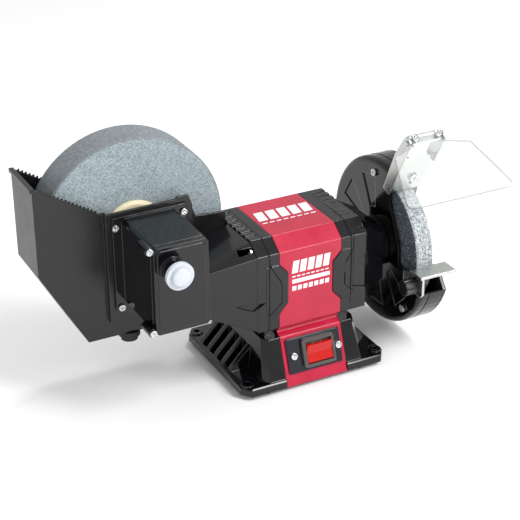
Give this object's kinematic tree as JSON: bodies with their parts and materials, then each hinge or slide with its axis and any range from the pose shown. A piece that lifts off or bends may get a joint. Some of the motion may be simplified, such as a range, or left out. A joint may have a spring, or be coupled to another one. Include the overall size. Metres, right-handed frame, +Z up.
{
  "type": "wet and dry bench grinder",
  "caption": "Bench grinder with a large slow wheel in a water trough on the left, a fast dry wheel in a guard on the right, and a switch on its sloped base.",
  "frame": {"origin": "centre of the bounding box on the floor under the rubber feet", "axes": "+X along the motor shaft towards the dry wheel, -Y towards the operator, +Z up"},
  "size_m": [0.4632, 0.2308, 0.2772],
  "materials": {
    "black_plastic": "semi-gloss moulded black plastic",
    "red_sheet": "semi-gloss red powder paint on bent sheet",
    "navy_plastic": "satin dark navy plastic",
    "grey_boot": "clear grey splash boot",
    "red_rocker": "glossy red",
    "zinc": "zinc-plated pressed steel",
    "steel": "turned steel",
    "copper": "lacquered copper winding",
    "lamination": "stacked steel laminations",
    "wet_stone": "fine grey abrasive grain",
    "dry_stone": "coarse grey abrasive grain",
    "cream_plastic": "cream moulded plastic",
    "white_cap": "smooth white plastic",
    "rubber": "matt black rubber",
    "clear_sheet": "clear flat plastic sheet",
    "bronze": "cast bronze"
  },
  "bodies": {
    "frame": {"base_pedestal": "black_plastic", "left_end_bell": "black_plastic", "right_end_bell": "black_plastic", "gearbox_case": "black_plastic", "gearbox_cover": "black_plastic", "water_tray": "black_plastic", "guard_drum": "black_plastic", "guard_cover": "black_plastic", "body_wrap": "red_sheet", "switch_plate": "navy_plastic", "base_plate": "navy_plastic", "capacitor": "navy_plastic", "switch_boot": "grey_boot", "bell_bolt": "zinc", "switch_screw_left": "zinc", "switch_screw_right": "zinc", "cover_screw_1": "zinc", "cover_screw_2": "zinc", "flange_screw_1": "zinc", "flange_screw_2": "zinc", "flange_screw_3": "zinc", "guard_screw_1": "zinc", "guard_screw_2": "zinc", "shield_slot_screw": "zinc", "bearing_left": "steel", "bearing_right": "steel", "winding_left": "copper", "winding_right": "copper", "stator_core": "lamination", "axle_cap": "white_cap", "foot_1": "rubber", "foot_2": "rubber", "foot_3": "rubber", "foot_4": "rubber", "cable_gland": "rubber", "drive_belt": "rubber"},
    "rotor": {"motor_shaft": "steel", "rotor_core": "lamination", "motor_pulley": "steel", "dry_wheel": "dry_stone", "dry_flange_inner": "steel", "dry_flange_outer": "steel", "dry_nut": "zinc"},
    "worm": {"worm_shaft": "steel", "worm_pulley": "steel"},
    "wet_wheel_set": {"wet_wheel": "wet_stone", "wet_hub_front": "cream_plastic", "wet_hub_back": "cream_plastic", "wet_axle": "steel", "worm_wheel": "bronze", "wet_nut": "zinc"},
    "rocker": {"switch_rocker": "red_rocker"},
    "bracket": {"shield_bracket": "zinc"},
    "shield": {"eye_shield": "clear_sheet", "shield_pin": "zinc", "shield_screw_left": "zinc", "shield_screw_right": "zinc"},
    "rest": {"tool_rest": "zinc"},
    "knob": {"rest_knob": "black_plastic"},
    "plug": {"drain_plug": "rubber"}
  },
  "joints": [
    {"name": "motor_spin", "type": "hinge", "parent": "frame", "child": "rotor", "pos_m": [0.0406, 0.02191, 0.1112], "axis": [1, 0, 0], "continuous": true},
    {"name": "worm_spin", "type": "hinge", "parent": "frame", "child": "worm", "pos_m": [-0.1229, -0.00209, 0.1552], "axis": [1, 0, 0], "continuous": true},
    {"name": "wet_spin", "type": "hinge", "parent": "frame", "child": "wet_wheel_set", "pos_m": [-0.1229, 0.02191, 0.1772], "axis": [0, 1, 0], "continuous": true},
    {"name": "rocker_tip", "type": "hinge", "parent": "frame", "child": "rocker", "pos_m": [0.0446, -0.04276, 0.03546], "axis": [1, 0, 0], "range_deg": [-18, 0]},
    {"name": "bracket_slide", "type": "slide", "parent": "frame", "child": "bracket", "axis": [0, -0.4067, 0.9135], "range_m": [0, 0.008]},
    {"name": "shield_tilt", "type": "hinge", "parent": "bracket", "child": "shield", "pos_m": [0.1691, -0.04199, 0.2498], "axis": [1, 0, 0], "range_deg": [-70, 45]},
    {"name": "rest_slide", "type": "slide", "parent": "frame", "child": "rest", "axis": [0, 1, 0], "range_m": [-0.01, 0.002]},
    {"name": "knob_turn", "type": "hinge", "parent": "frame", "child": "knob", "pos_m": [0.1406, -0.06309, 0.095], "axis": [1, 0, 0], "continuous": true},
    {"name": "plug_pull", "type": "slide", "parent": "frame", "child": "plug", "axis": [0, 0, -1], "range_m": [0, 0.02]}
  ],
  "couplings": [
    {"joint": "worm_spin", "follows": "motor_spin", "ratio": 0.90909},
    {"joint": "wet_spin", "follows": "motor_spin", "ratio": 0.045455}
  ]
}
